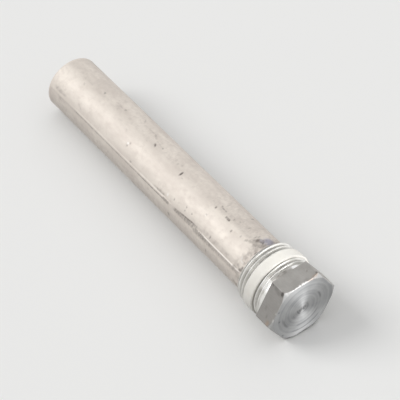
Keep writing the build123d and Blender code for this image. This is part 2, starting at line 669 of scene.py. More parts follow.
@dataclass(frozen=True)
class Mark:
    """An oval mark on a surface round the axis."""

    wear: Wear
    along: float  # mm
    angle: float  # degrees round the axis
    length: float  # mm, along its own long side
    width: float  # mm
    depth: float = 0.0  # mm
    tone: float = 1.0  # how strongly it colours
    turn: float = 0.0  # degrees from the axis to the long side

    def cover(self, x: Array, angle: Array, radius: float) -> Array:
        """One in the middle of the oval and zero past its edge.

        Args:
            x: places along the axis.
            angle: places round it.
            radius: of the surface, which turns degrees into a distance.

        Returns:
            A smooth fall from the middle of the oval to 1.25 times its half sizes.
        """
        dx = x - self.along
        ds = np.radians(angle_gap(angle, self.angle)) * radius
        lean = math.radians(self.turn)
        long_way = dx * math.cos(lean) + ds * math.sin(lean)
        short_way = ds * math.cos(lean) - dx * math.sin(lean)
        reach = np.hypot(long_way / (self.length / 2), short_way / (self.width / 2))
        return smooth_step(1.25, 0.35, reach)


@dataclass(frozen=True)
class ToolMark:
    """A deeper groove that the lathe tool left on part of a turn of the end face."""

    radius: float  # mm
    start: float  # degrees round the axis
    end: float
    depth: float  # mm
    tone: float  # how strongly soil colours it
    half_width: float = 0.34  # mm
    fade: float = 9.0  # degrees, half the length of the smooth fall at each end

    def cover(self, radius: Array, angle: Array) -> Array:
        """One along the groove: a bell across it, with a smooth fall at its two ends."""
        reach = (self.end - self.start) / 2
        across = np.exp(-(((radius - self.radius) / self.half_width) ** 2))
        turn = np.abs(angle_gap(angle, self.start + reach))
        return across * smooth_step(reach + self.fade, reach - self.fade, turn)


@dataclass
class HexPlug:
    """The plug: hexagon head, turned end face, threaded neck and the hole for the core."""

    head_thickness: float
    across_flats: float
    neck_length: float
    neck_radius: float
    core_radius: float
    hole_bottom: float
    head_cone_slope: float = math.tan(math.radians(30.0))
    end_face_overrun: float = 0.3
    collar_length: float = 1.25
    collar_rim: float = 0.2
    front_break: float = 0.32
    edge_break: float = 0.10
    corner_rounding: float = 0.22
    pitch: float = 1.814
    thread_depth: float = 1.162
    thread_start_turn: float = 0.34
    run_out: tuple[float, float] = (0.0, 1.3)
    hidden: tuple[float, float] = (4.3, 8.3)  # mm along the neck, well under the ring
    row_step: float = 0.037
    end_chamfer: float = 0.9
    drill_point: float = 2.4
    pip_place: tuple[float, float] = (-1.1, -0.3)  # mm off the axis, along Y and Z
    pip_radius: float = 0.95
    pip_height: float = 0.07
    pip_soil: float = 0.65
    face_dish: float = 0.13
    ring_relief: float = 0.028
    # Painted shade: how much each flat is darkened.
    painted_flat_shade: tuple[float, ...] = (0.26, 0.0, 0.04, 0.12, 0.10, 0.16)  # from the flat at 30 degrees on
    tool_marks: tuple[ToolMark, ...] = (
        ToolMark(8.55, -142.0, -68.0, 0.045, 0.55, 0.52),
        ToolMark(11.1, -128.0, -62.0, 0.040, 0.55, 0.42),
        ToolMark(7.4, 28.0, 100.0, 0.025, 0.12),
        ToolMark(9.9, 20.0, 120.0, 0.015, 0.06, 0.25),
        ToolMark(9.0, -38.0, -2.0, 0.035, 0.58, 0.45),
        ToolMark(9.6, -14.0, 4.0, 0.020, 0.42, 0.35),
        ToolMark(8.1, 150.0, 178.0, 0.035, 0.60, 0.45),
        ToolMark(5.0, -44.0, -16.0, 0.025, 0.30, 0.45),
        ToolMark(5.8, -150.0, -100.0, 0.020, 0.10, 0.25),
        ToolMark(2.5, -58.0, 6.0, 0.025, 0.48),
        ToolMark(1.6, -52.0, 10.0, 0.015, 0.52, 0.28),
        ToolMark(1.3, 135.0, 205.0, 0.015, 0.50, 0.50),
        ToolMark(2.1, -175.0, -85.0, 0.015, 0.35, 0.42),
        ToolMark(2.3, 140.0, 222.0, 0.020, 0.30),
        ToolMark(11.0, 0.5, 3.5, 0.010, 1.00, 0.38, 2.5),
        ToolMark(13.0, -44.0, -40.0, 0.010, 0.90, 0.40, 2.0),
        ToolMark(12.6, 26.5, 29.5, 0.010, 0.90, 0.38, 2.0),
        ToolMark(10.7, -76.5, -73.5, 0.010, 0.50, 0.35, 2.0),
        ToolMark(13.55, 112.0, 250.0, 0.020, 0.40, 0.14),
        ToolMark(13.55, -75.0, 35.0, 0.015, 0.22, 0.14),
    )
    spots: tuple[Mark, ...] = (
        Mark(Wear.PIT, -7.9, 119.0, 1.3, 0.9, tone=0.85),
        Mark(Wear.RUST, -8.5, 115.0, 1.0, 3.0, tone=0.38),
        Mark(Wear.RUST, -9.1, 107.0, 0.6, 3.6, tone=0.25),
        Mark(Wear.RUST, -7.0, 4.0, 2.0, 2.4, tone=0.35),
        Mark(Wear.PIT, -7.7, 57.4, 2.2, 2.0, tone=0.95, turn=20.0),
        Mark(Wear.PIT, -6.2, 57.6, 1.4, 0.7, tone=0.40, turn=-25.0),
        Mark(Wear.PIT, -2.0, 58.0, 1.2, 1.4, tone=0.80),
        Mark(Wear.SMEAR, -5.0, 56.5, 5.0, 1.8, tone=0.40, turn=20.0),
        Mark(Wear.PIT, -5.0, 111.4, 0.6, 0.6, tone=0.35),
        Mark(Wear.FLECK, -4.2, 110.4, 0.6, 0.6, tone=0.25),
        Mark(Wear.SMEAR, -8.2, 100.0, 1.4, 3.0, tone=0.18),
        Mark(Wear.SMEAR, -4.0, 20.0, 3.0, 0.6, tone=0.40, turn=80.0),
        Mark(Wear.SMEAR, -5.6, 12.0, 2.4, 0.6, tone=0.35, turn=80.0),
        # Burrs on the front edge: raised bumps whose pale colour is a painted glint.
        Mark(Wear.FLECK, -9.1, 91.0, 1.3, 1.6, 0.10),
        Mark(Wear.FLECK, -9.1, 96.5, 1.0, 1.3, 0.08),
        Mark(Wear.FLECK, -9.1, 85.0, 1.1, 1.3, 0.08),
        Mark(Wear.FLECK, -9.2, 78.5, 0.8, 1.8, 0.05, tone=0.8),
        Mark(Wear.FLECK, -9.2, 70.0, 0.7, 1.8, 0.04, tone=0.7),
        Mark(Wear.FLECK, -9.0, 13.0, 0.8, 1.4, tone=0.5),
        Mark(Wear.FLECK, -8.9, 26.0, 0.7, 0.8, tone=0.45),
    )

    def angles(self) -> Array:
        """Column angles: close together at each corner of the hexagon, even between them."""
        close = np.array([0.12, 0.3, 0.55, 1.1])
        even = np.linspace(2.0, 58.0, 25)
        sector = np.concatenate([[0.0], close, even, 60.0 - close[::-1]])
        return (sector + 60.0 * np.arange(6)[:, None]).ravel()

    def hexagon(self, angle: Array) -> Array:
        """The hexagon's radius at each angle, with flats square to +Z and rounded corners.

        The flat's radius is half the width across flats over the cosine of the turn from its
        middle. Near a corner it is the far side of a small circle that touches both flats.
        """
        flat = self.across_flats / 2
        from_corner = np.radians(np.abs((angle + 30.0) % 60.0 - 30.0))
        from_flat = math.radians(30.0) - from_corner
        straight = flat / np.cos(from_flat)
        centre = (flat - self.corner_rounding) / math.cos(math.radians(30.0))
        root = self.corner_rounding**2 - (centre * np.sin(from_corner)) ** 2
        arc = centre * np.cos(from_corner) + np.sqrt(np.maximum(root, 0.0))
        touch = math.atan2(
            self.corner_rounding * 0.5, centre + self.corner_rounding * math.cos(math.radians(30.0))
        )
        return np.where(from_corner < touch, arc, straight)

    def neck_places(self) -> Array:
        """Where the neck's rows lie: close together in sight, and few under the sealing ring."""
        hidden_from, hidden_to = self.hidden
        shown_rows = round((self.neck_length - hidden_to) / self.row_step)
        return np.concatenate([
            np.arange(0.03, hidden_from, self.row_step),
            np.linspace(hidden_from, hidden_to, 16),
            np.linspace(hidden_to, self.neck_length, shown_rows)[1:],
        ])

    def thread(self, x: Array, angle: Array) -> Array:
        """The neck's radius: a right-hand groove of rounded 55 degree form below the crests.

        The form is a rounded triangle wave of the phase, which is x over the pitch less the
        turn. It is as high as the sharp thread, and a soft limit holds its crests and roots
        within the thread's depth. The groove fades out towards the head, and a chamfer cuts
        the far end.
        """
        phase = 2.0 * math.pi * (x / self.pitch - angle / 360.0 + self.thread_start_turn)
        peak = 0.960491 * self.pitch / 2
        sharp = peak * np.arcsin(0.975 * np.cos(phase)) / math.asin(0.975)
        half = self.thread_depth / 2
        held = half * np.tanh(1.1 * sharp / half) / math.tanh(1.1 * peak / half)
        depth = (half - held) * smooth_step(*self.run_out, x)
        chamfer = np.maximum(0.0, x - (self.neck_length - self.end_chamfer))
        return np.minimum(self.neck_radius - depth, self.neck_radius - chamfer)

    def from_pip(self, radius: Array, angle: Array) -> Array:
        """The distance on the end face from the middle of the pip."""
        turn = np.radians(angle)
        y, z = self.pip_place
        return np.hypot(radius * np.cos(turn) - y, radius * np.sin(turn) - z)

    def face_depth(self, radius: Array, angle: Array) -> Array:
        """How far the end face lies behind its rim, at each radius and angle.

        The face is dished by a share that falls evenly to the rim. Near its middle stands a
        small pip with a dimple. The lathe's rings are noise along the radius, a little
        different on each side of the face, and the tool marks are cut into them.
        """
        turn = np.radians(angle)
        flat = self.across_flats / 2
        dish = self.face_dish * (1.0 - radius / flat)
        share = self.from_pip(radius, angle) / self.pip_radius
        pip = self.pip_height * smooth_step(1.0, 0.6, share)
        dimple = self.pip_height * smooth_step(0.5, 0.1, share)
        places = np.stack([radius, 0.25 * np.cos(turn), 0.25 * np.sin(turn)], axis=-1)
        rings = Grain(3).layers(places, 0.8, 2)
        calm = smooth_step(0.8, 2.0, radius) * smooth_step(flat, flat - 0.6, radius)
        grooves = sum(mark.depth * mark.cover(radius, angle) for mark in self.tool_marks)
        return dish - pip + dimple + self.ring_relief * rings * calm + grooves

    def build(self, materials: dict[str, bpy.types.Material]) -> bpy.types.Object:
        """Carries the profile round the axis.

        Args:
            materials: finishes of the face, the cone round it, the flats and the neck.

        Returns:
            The plug's piece.
        """
        angle = self.angles()
        hexagon = self.hexagon(angle)
        front = -self.head_thickness
        step = -self.collar_length
        end_radius = self.across_flats / 2 + self.end_face_overrun
        collar = self.neck_radius + self.collar_rim
        face_rim = np.minimum(hexagon - self.front_break, end_radius)
        cone_front = front + (hexagon - face_rim) * self.head_cone_slope

        profile = Profile(len(angle))
        for radius in np.concatenate([[0.0], np.linspace(0.1, 1.2, 11)]):
            level = np.full(len(angle), radius)
            profile.add(front + self.face_depth(level, angle), radius, "face")
        full = self.across_flats / 2 - 0.62
        for radius in np.linspace(1.2, full, 84)[1:]:
            level = np.full(len(angle), radius)
            profile.add(front + np.maximum(self.face_depth(level, angle), 0.0), level, "face")
        for share in (0.3, 0.65, 1.0):
            level = full + (face_rim - 0.2 - full) * share
            profile.add(front + np.maximum(self.face_depth(level, angle), 0.0), level, "face")
        profile.corner((front, 0.0), (front, face_rim), (cone_front, hexagon), 0.08, 4, "cone")
        profile.corner((front, face_rim), (cone_front, hexagon), (step, hexagon), 0.08, 4, "front_edge")
        profile.run((step - 0.3, hexagon), 14, "flat", bias=1.5)
        side_start, side_end, collar_foot = (cone_front, hexagon), (step, hexagon), (step, collar)
        profile.corner(side_start, side_end, collar_foot, self.edge_break, 4, "back_edge")
        profile.corner((step, hexagon), (step, collar), (0.0, collar), 0.05, 3, "neck")
        profile.run((-0.25, collar), 3, "neck")
        profile.corner((step, collar), (0.0, collar), (0.0, self.neck_radius - 0.4), 0.12, 4, "neck")
        for x in self.neck_places():
            profile.add(x, self.thread(np.full(len(angle), x), angle), "neck")
        profile.add(self.neck_length, self.neck_radius - self.end_chamfer - 0.1, "inside")
        profile.add(self.neck_length, self.core_radius + 0.1, "inside")
        profile.add(self.neck_length, self.core_radius, "inside")
        profile.run((self.hole_bottom, self.core_radius), 4, "inside")
        profile.add(self.hole_bottom - self.drill_point, 0.0, "inside")

        skin = profile.skin(angle)
        edge_rows = profile.tagged("front_edge", "flat")[:, None]
        for burr in self.spots:
            if burr.wear is Wear.FLECK:
                skin.radius = skin.radius + burr.depth * burr.cover(skin.x, angle, skin.radius) * edge_rows
        order = list(materials)
        skin.finish = np.full(len(profile.tags), order.index("neck"))
        skin.finish[profile.tagged("face")] = order.index("face")
        skin.finish[profile.tagged("cone")] = order.index("cone")
        skin.finish[profile.tagged("front_edge", "flat", "back_edge")] = order.index("flat")
        skin.marks = self.marks(skin, profile, angle)
        return skin.build("plug", [materials[name] for name in order])

    def marks(self, skin: Skin, profile: Profile, angle: Array) -> dict[str, Array]:
        """Soil and painted shade in the thread, a painted dark band and painted highlights on the neck, soil
        in the grooves, painted shade and pits on the flats, worn edges with painted highlights, and rust
        spots.
        """
        neck = profile.tagged("neck")[:, None]
        face = profile.tagged("face")[:, None]
        front_edge = profile.tagged("front_edge")[:, None]
        sides = profile.tagged("front_edge", "flat", "back_edge")[:, None]
        patchy = Grain(8).layers(skin.points() / MM, 1.3, 2)
        below = np.clip((self.neck_radius - skin.radius) / self.thread_depth, 0.0, 1.0)
        # Soil and painted shade in the thread's roots, with less of it where the main light's highlight falls
        # (40 to 58 degrees).
        lighter_on_lit_side = 1.0 - 0.6 * window(40.0, 58.0, 6.0, angle) * (skin.x < 4.0)
        soil = 0.62 * lighter_on_lit_side * smooth_step(0.60, 1.0, below) * np.clip(0.8 + patchy, 0.0, 1.0)
        soil = np.where(neck, soil, 0.0)
        # Painted shade on the collar: a dark reflection is painted between the lamps' reflections (62 to 96
        # degrees) and past the rim lamp's (116 to 150 degrees), into the soil mark.
        collar = neck & (skin.x < 0.9)
        dull = 0.72 * window(62.0, 96.0, 4.0, angle) + 0.42 * window(116.0, 150.0, 8.0, angle)
        dull = dull * smooth_step(0.9, 0.3, skin.x) * np.clip(0.95 + 0.8 * patchy, 0.0, 1.1)
        soil = np.maximum(soil, np.where(collar, dull, 0.0))
        beside_pip = self.from_pip(skin.radius, angle) - self.pip_radius
        foot = self.pip_soil * np.exp(-((beside_pip / 0.35) ** 2)) * np.clip(0.8 + 1.5 * patchy, 0.0, 1.0)
        soil = np.maximum(soil, np.where(face, foot, 0.0))
        for mark in self.tool_marks:
            soil = np.maximum(soil, np.where(face, mark.tone * mark.cover(skin.radius, angle), 0.0))
        from_corner = np.abs((angle + 30.0) % 60.0 - 30.0)
        # Painted highlight: the front edge is lightened most where it faces up (63 to 108 degrees), over a
        # little even wear.
        highlight_stretch = window(63.0, 108.0, 5.0, angle)
        edge = np.where(front_edge, (0.12 + 0.3 * highlight_stretch) * np.clip(0.8 + 2.0 * patchy, 0.0, 1.0), 0.0)
        edge = np.maximum(edge, np.where(sides, 0.08 * smooth_step(0.8, 0.2, from_corner), 0.0))
        # Painted highlights on the neck: lightened where the rim lamp's reflection falls (99 to 108 degrees)
        # and where the main light's falls (42 to 57 degrees).
        painted_highlight = window(99.0, 108.0, 3.0, angle) * window(-1.0, 0.6, 0.3, skin.x)
        painted_highlight = np.maximum(painted_highlight, 0.6 * window(42.0, 57.0, 5.0, angle) * window(-0.8, 3.9, 0.4, skin.x))
        edge = np.maximum(edge, np.where(neck, painted_highlight, 0.0))
        # Painted shade: each flat is darkened by its own amount, and pits below add dark spots.
        pits_and_flat_shade = np.where(sides, np.array(self.painted_flat_shade)[(angle // 60.0).astype(int)], 0.0)
        rust = np.zeros_like(soil)
        for mark in self.spots:
            cover = mark.cover(skin.x, angle, skin.radius)
            ragged = mark.tone * np.clip(cover * (1.0 + 1.2 * patchy), 0.0, 1.0)
            if mark.wear is Wear.RUST:
                rust = np.maximum(rust, ragged)
            # Flecks are raised burrs; their pale colour is a painted glint.
            elif mark.wear is Wear.FLECK:
                edge = np.maximum(edge, mark.tone * cover * sides)
            elif mark.wear is Wear.PIT:
                pits_and_flat_shade = np.maximum(pits_and_flat_shade, ragged * sides)
            else:
                soil = np.maximum(soil, ragged * sides)
        return {"soil": soil, "pits_and_flat_shade": pits_and_flat_shade, "edge": edge, "rust": rust}


@dataclass
class SealingRing:
    """The white ring on the thread."""

    start: float
    end: float
    outer_radius: float
    bore_radius: float
    edge_rounding: float = 0.55
    columns: int = 240
    unevenness: float = 0.03  # of the outer side, in mm

    def build(self, plastic: bpy.types.Material) -> bpy.types.Object:
        """Carries the ring's section round the axis: a band with rounded outer edges.

        The outer side is uneven by a few hundredths of a millimetre.
        """
        angle = np.arange(self.columns) * 360.0 / self.columns
        profile = Profile(self.columns)
        out, bore = self.outer_radius, self.bore_radius
        profile.corner((self.end, bore), (self.start, bore), (self.start, out), 0.1, 3, "bore")
        profile.corner((self.start, bore), (self.start, out), (self.end, out), self.edge_rounding, 8, "edge")
        profile.run((self.end - 1.2, out), 12, "band")
        profile.corner((self.start, out), (self.end, out), (self.end, bore), self.edge_rounding, 8, "edge")
        profile.corner((self.end, out), (self.end, bore), (self.start, bore), 0.1, 3, "bore")
        profile.run((self.start + 0.6, bore), 5, "bore")
        skin = profile.skin(angle, looped=True)
        uneven = Grain(5).layers(skin.points() / MM, 9.0, 2)
        outer = profile.tagged("band", "edge")[:, None]
        skin.radius = skin.radius - self.unevenness * np.clip(uneven + 0.5, 0.0, 1.0) * outer
        low = smooth_step(self.bore_radius + 0.9, self.bore_radius + 0.3, skin.radius)
        skin.marks = {"soil": 0.6 * low}
        return skin.build("seal_ring", [plastic])


@dataclass
class MagnesiumRod:
    """The cast rod: its skin, parting seams, pits, a knock by the thread, and the core's bore."""

    start: float
    end: float
    radius: float
    core_radius: float
    core_end: float
    near_edge: float = 0.4
    far_edge: float = 1.0
    seam_angle: float = 26.0
    seam_height: float = 0.2
    seam_width: float = 1.0
    torn: tuple[float, float] = (42.0, 57.0)  # mm, where the seam's ridge broke off
    fine_to: float = 64.0  # mm, the end of the stretch with more rows
    fine_step: float = 0.21
    coarse_step: float = 0.36
    pits_behind: int = 16
    marks: tuple[Mark, ...] = (
        Mark(Wear.PIT, 63.0, 84.5, 0.95, 2.3, 0.30, 0.90),
        Mark(Wear.PIT, 61.0, 78.5, 1.2, 0.7, 0.05, 0.22),
        Mark(Wear.PIT, 81.2, 89.5, 2.1, 0.9, 0.25, 0.80, 40.0),
        Mark(Wear.PIT, 33.5, 84.6, 2.0, 1.3, 0.25, 0.95),
        Mark(Wear.PIT, 34.8, 85.4, 1.1, 1.1, 0.15, 0.60, 20.0),
        Mark(Wear.PIT, 28.8, 73.0, 0.9, 1.2, 0.25, 0.75),
        Mark(Wear.PIT, 41.2, 84.8, 0.9, 1.3, 0.20, 0.70, -15.0),
        Mark(Wear.PIT, 37.3, 93.2, 1.1, 0.6, 0.12, 0.50),
        Mark(Wear.PIT, 38.7, 93.7, 1.6, 0.7, 0.15, 0.60, 10.0),
        Mark(Wear.PIT, 39.9, 95.2, 0.9, 0.8, 0.12, 0.50, 30.0),
        Mark(Wear.PIT, 32.0, 93.0, 0.7, 1.1, 0.12, 0.50),
        Mark(Wear.PIT, 24.3, 78.0, 1.0, 0.6, 0.12, 0.45),
        Mark(Wear.PIT, 29.8, 98.0, 0.9, 0.9, 0.12, 0.40),
        Mark(Wear.PIT, 29.2, 103.5, 0.5, 1.4, 0.06, 0.25),
        Mark(Wear.PIT, 25.4, 103.0, 0.6, 1.8, 0.06, 0.28),
        Mark(Wear.PIT, 19.9, 104.0, 0.7, 1.8, 0.08, 0.40),
        Mark(Wear.PIT, 20.4, 98.0, 0.6, 2.0, 0.08, 0.45),
        Mark(Wear.PIT, 39.2, 107.0, 0.6, 2.6, 0.05, 0.22),
        Mark(Wear.PIT, 39.8, 113.5, 0.4, 2.0, 0.05, 0.18),
        Mark(Wear.PIT, 41.3, 63.2, 1.3, 0.5, 0.06, 0.30, -20.0),
        Mark(Wear.PIT, 34.1, 36.0, 0.8, 1.2, 0.12, 0.50),
        Mark(Wear.PIT, 46.7, 43.0, 0.7, 0.6, 0.15, 0.60),
        Mark(Wear.PIT, 50.4, 45.3, 0.8, 0.8, 0.10, 0.50),
        Mark(Wear.PIT, 50.3, 38.5, 0.6, 0.7, 0.10, 0.50),
        Mark(Wear.PIT, 57.2, 39.5, 0.7, 0.9, 0.12, 0.45),
        Mark(Wear.PIT, 58.0, 1.5, 1.6, 1.8, 0.12, 0.45),
        Mark(Wear.PIT, 34.4, 3.0, 0.8, 1.8, 0.08, 0.35),
        Mark(Wear.PIT, 29.8, 130.0, 1.0, 2.2, 0.12, 0.50),
        Mark(Wear.PIT, 77.8, 95.5, 0.9, 0.8, 0.12, 0.50, 20.0),
        Mark(Wear.PIT, 103.8, 100.0, 1.3, 1.1, 0.15, 0.60),
        Mark(Wear.PIT, 116.5, 95.0, 1.3, 0.9, 0.15, 0.50, 25.0),
        Mark(Wear.PIT, 85.2, 84.0, 0.8, 0.7, 0.06, 0.20),
        Mark(Wear.PIT, 84.5, 31.0, 1.2, 0.9, 0.06, 0.30, -30.0),
        Mark(Wear.PIT, 89.4, 58.5, 0.8, 0.7, 0.12, 0.40),
        Mark(Wear.PIT, 90.0, 49.8, 0.9, 0.7, 0.12, 0.55, -30.0),
        Mark(Wear.PIT, 66.0, 98.0, 1.2, 1.2, 0.05, 0.22),
        Mark(Wear.PIT, 67.8, 94.0, 1.0, 1.4, 0.05, 0.20),
        Mark(Wear.PIT, 69.6, 98.0, 0.8, 1.6, 0.05, 0.15),
        Mark(Wear.PIT, 101.0, 77.0, 2.0, 1.0, 0.04, 0.12),
        Mark(Wear.PIT, 95.3, 71.5, 1.6, 0.8, 0.04, 0.12, 30.0),
        Mark(Wear.PIT, 126.0, 78.0, 1.4, 0.8, 0.06, 0.18, 20.0),
        Mark(Wear.PIT, 15.3, 31.5, 2.2, 1.2, 0.06, 0.70, -25.0),
        Mark(Wear.PIT, 14.8, 37.0, 1.0, 1.6, 0.05, 0.60),
        Mark(Wear.PIT, 14.6, 74.0, 1.0, 1.4, 0.05, 0.55),
        Mark(Wear.FLECK, 90.2, 55.0, 1.0, 1.1, 0.0, 1.0, -60.0),
        Mark(Wear.FLECK, 61.0, 37.5, 1.2, 0.7, 0.0, 0.7),
        Mark(Wear.FLECK, 41.6, 61.0, 0.9, 0.5, 0.0, 0.5, 30.0),
        Mark(Wear.FLECK, 17.2, 50.5, 1.6, 0.5, 0.0, 0.7, 55.0),
        Mark(Wear.FLECK, 16.3, 46.0, 2.6, 0.5, 0.0, 0.5),
        Mark(Wear.SMEAR, 107.4, 98.0, 2.6, 1.5, 0.0, 0.36),
        Mark(Wear.SMEAR, 105.5, 98.5, 4.2, 1.0, 0.0, 0.34, -10.0),
        Mark(Wear.SMEAR, 106.5, 92.0, 4.0, 2.0, 0.0, 0.20),
        Mark(Wear.SMEAR, 80.5, 97.5, 6.0, 1.0, 0.0, 0.26, 10.0),
        Mark(Wear.SMEAR, 84.6, 104.0, 4.4, 1.0, 0.0, 0.34, 28.0),
        Mark(Wear.SMEAR, 89.6, 108.0, 7.5, 0.9, 0.0, 0.30),
        Mark(Wear.SMEAR, 94.6, 114.0, 3.8, 1.0, 0.0, 0.34, 50.0),
        Mark(Wear.SMEAR, 65.5, 31.3, 8.0, 1.1, 0.04, 0.40, -3.0),
        Mark(Wear.SMEAR, 24.0, 36.0, 4.0, 1.4, 0.0, 0.22),
        Mark(Wear.SMEAR, 30.5, 32.5, 4.0, 1.0, 0.0, 0.26),
        Mark(Wear.SMEAR, 120.0, 38.0, 3.4, 0.9, 0.0, 0.18, 25.0),
        Mark(Wear.SMEAR, 133.0, 34.0, 8.0, 1.8, 0.0, 0.28),
        Mark(Wear.SMEAR, 131.0, 20.0, 5.0, 1.4, 0.0, 0.28),
        Mark(Wear.SMEAR, 126.5, 89.0, 8.0, 0.8, 0.0, 0.22),
        Mark(Wear.SMEAR, 18.0, 97.5, 4.4, 3.0, 0.04, 0.78, 120.0),
        Mark(Wear.SMEAR, 19.5, 88.0, 4.0, 1.8, 0.03, 0.60, 125.0),
        Mark(Wear.SMEAR, 21.2, 80.5, 2.6, 1.0, 0.02, 0.40, 140.0),
        Mark(Wear.SMEAR, 17.2, 88.0, 4.4, 3.4, 0.02, 0.46),
        Mark(Wear.SMEAR, 15.8, 94.0, 3.0, 5.0, 0.02, 0.60),
        Mark(Wear.SMEAR, 15.9, 78.0, 2.8, 3.4, 0.02, 0.44),
        Mark(Wear.SMEAR, 16.6, 100.5, 2.0, 1.2, 0.03, 0.55, 60.0),
        Mark(Wear.SMEAR, 15.3, 70.0, 1.8, 1.6, 0.03, 0.60, 40.0),
        Mark(Wear.SMEAR, 15.2, 63.0, 1.8, 1.2, 0.02, 0.35),
        Mark(Wear.SMEAR, 16.2, 55.0, 1.6, 0.8, 0.02, 0.30, 60.0),
        Mark(Wear.SMEAR, 15.0, 47.0, 1.4, 1.6, 0.03, 0.45),
        Mark(Wear.SMEAR, 16.8, 36.0, 2.4, 1.6, 0.02, 0.34, 20.0),
        Mark(Wear.SMEAR, 18.0, 28.0, 3.0, 1.4, 0.02, 0.40),
        Mark(Wear.SMEAR, 14.8, 20.0, 1.4, 3.0, 0.02, 0.35),
        Mark(Wear.PIT, 16.6, 100.5, 2.4, 0.7, 0.06, 0.55, 55.0),
        Mark(Wear.PIT, 17.6, 109.0, 0.7, 2.8, 0.05, 0.40, 20.0),
        Mark(Wear.STAIN, 16.2, 111.0, 5.0, 4.8, 0.14, 0.72, 60.0),
        Mark(Wear.STAIN, 17.4, 103.0, 3.0, 3.0, 0.08, 0.58, 60.0),
    )

    def back_pits(self) -> list[Mark]:
        """Pits of random size and place on the side away from the marks."""
        draws = np.random.default_rng(5).uniform(size=(self.pits_behind, 4))
        reach = self.end - self.start - 12.0
        return [
            Mark(Wear.PIT, self.start + 6.0 + reach * along, 165.0 + 175.0 * turn,
                 0.7 + 1.2 * long, 0.6 + 0.7 * wide, 0.12, 0.35 + 0.25 * wide)
            for along, turn, long, wide in draws
        ]

    def angles(self) -> Array:
        """Column angles: close together across each seam, even between the seams."""
        across = np.concatenate([
            np.linspace(-6.0, -2.9, 5),
            np.linspace(-2.5, 2.5, 17),
            np.linspace(2.9, 6.0, 5),
        ])
        between = np.linspace(8.0, 172.0, 70)
        half = np.concatenate([across, between])
        return self.seam_angle + np.concatenate([half, half + 180.0])

    def seam(self, x: Array, angle: Array) -> tuple[Array, Array, Array]:
        """The parting seam.

        Args:
            x: places along the axis.
            angle: places round it.

        Returns:
            Its height in mm, the soil beside it and the painted highlight along its crest. The
            ridge is one along its middle and falls smoothly to zero at half its width. On the
            side that shows, it is high near the plug with a broad band of soil below it. Where
            it is torn off, the soil lies over it under a darker lip, which sinks towards the
            far end. Beyond, the ridge is low, with a thin line of soil and painted shade along
            its foot.
        """
        near = angle_gap(angle, self.seam_angle)
        far = angle_gap(angle, self.seam_angle + 180.0)
        shown = np.abs(near) < 90.0
        across = np.radians(np.where(shown, near, far)) * self.radius
        torn_from, torn_to = self.torn
        ridge = smooth_step(0.55 * self.seam_width, 0.15 * self.seam_width, np.abs(across))
        torn = window(torn_from, torn_to, 1.5, x) * shown
        strength = 0.65 - 0.15 * smooth_step(60.0, 78.0, x) - 0.25 * smooth_step(118.0, 128.0, x)
        strength = strength * (1.0 - 0.85 * torn) * window(self.start + 2.0, self.end - 1.5, 1.0, x)

        along = np.clip((x - torn_from) / (torn_to - torn_from), 0.0, 1.0)
        lip = 1.55 - 1.30 * along
        climb = 0.30 + 0.40 * np.clip((x - self.start) / (torn_from - self.start), 0.0, 1.0)
        upper = climb - 0.32 * smooth_step(40.0, 32.0, x)
        band = smooth_step(-2.1, -1.0, across) * smooth_step(upper, upper - 0.4, across)
        band = band * window(self.start + 2.5, torn_from + 0.5, 1.5, x)
        band = band * (0.42 + 0.22 * smooth_step(26.0, 38.0, x))
        scar = smooth_step(-1.3, -0.7, across) * smooth_step(lip + 0.25, lip - 0.25, across)
        lip_line = np.exp(-(((across - lip + 0.2) / 0.22) ** 2)) * window(45.5, 50.0, 2.5, x)
        scar = 0.54 * scar * window(torn_from + 0.5, torn_to - 2.5, 2.5, x) + 0.66 * lip_line
        patch = window(59.3, 62.2, 0.8, x) * window(-0.9, 0.2, 0.3, across) * 0.56
        # Soil and painted shade: a thin dark line along the ridge's lower foot, on both seams.
        foot = np.exp(-(((across + 0.56) / 0.24) ** 2))
        strong = (0.82 - 0.30 * smooth_step(74.0, 82.0, x)) * window(62.0, 121.0, 1.5, x)
        faint = 0.18 * window(122.5, self.end - 2.0, 1.5, x)
        line = foot * (strong + faint)
        along_wall = window(self.start + 2.0, self.end - 2.5, 1.5, x)
        soil = np.where(shown, np.maximum.reduce([band, scar, patch, line]), 0.5 * foot * along_wall)

        # Painted highlight along the ridge's crest, strongest near the plug and from 63 to 76 mm, faint on
        # the far seam.
        crest = np.exp(-(((across - climb + 0.14) / 0.20) ** 2))
        lit = window(self.start + 3.0, torn_from - 6.0, 5.0, x) * 0.62 + window(63.0, 76.0, 3.0, x) * 0.32
        bare_and_highlight = crest * (lit + window(80.0, 120.0, 2.0, x) * 0.15)
        return self.seam_height * ridge * strength, soil, np.where(shown, bare_and_highlight, 0.3 * crest * along_wall)

    def build(self, cast: bpy.types.Material) -> bpy.types.Object:
        """Carries the profile round the axis, then adds the seams, the pits and the cast skin."""
        angle = self.angles()
        columns = len(angle)
        profile = Profile(columns)
        profile.add(self.core_end, 0.0, "bore")
        profile.add(self.core_end, self.core_radius - 1.0, "bore")
        profile.add(self.core_end - 1.0, self.core_radius, "bore")
        profile.run((self.start, self.core_radius), 3, "bore")
        profile.add(self.start, self.core_radius + 0.1, "near_end")
        profile.add(self.start, self.radius - 1.2, "near_end")
        near_rim, far_rim = (self.start, self.radius), (self.end, self.radius)
        profile.corner((self.start, 0.0), near_rim, far_rim, self.near_edge, 4, "near_end")
        fine_rows = round((self.fine_to - self.start) / self.fine_step)
        coarse_rows = round((self.end - 1.6 - self.fine_to) / self.coarse_step)
        profile.run((self.fine_to, self.radius), fine_rows, "wall")
        profile.run((self.end - 1.6, self.radius), coarse_rows, "wall")
        profile.corner(near_rim, far_rim, (self.end, 0.0), self.far_edge, 7, "far_end")
        profile.run((self.end, 0.4), 11, "face")
        profile.add(self.end, 0.0, "face")
        skin = profile.skin(angle, finish=None)

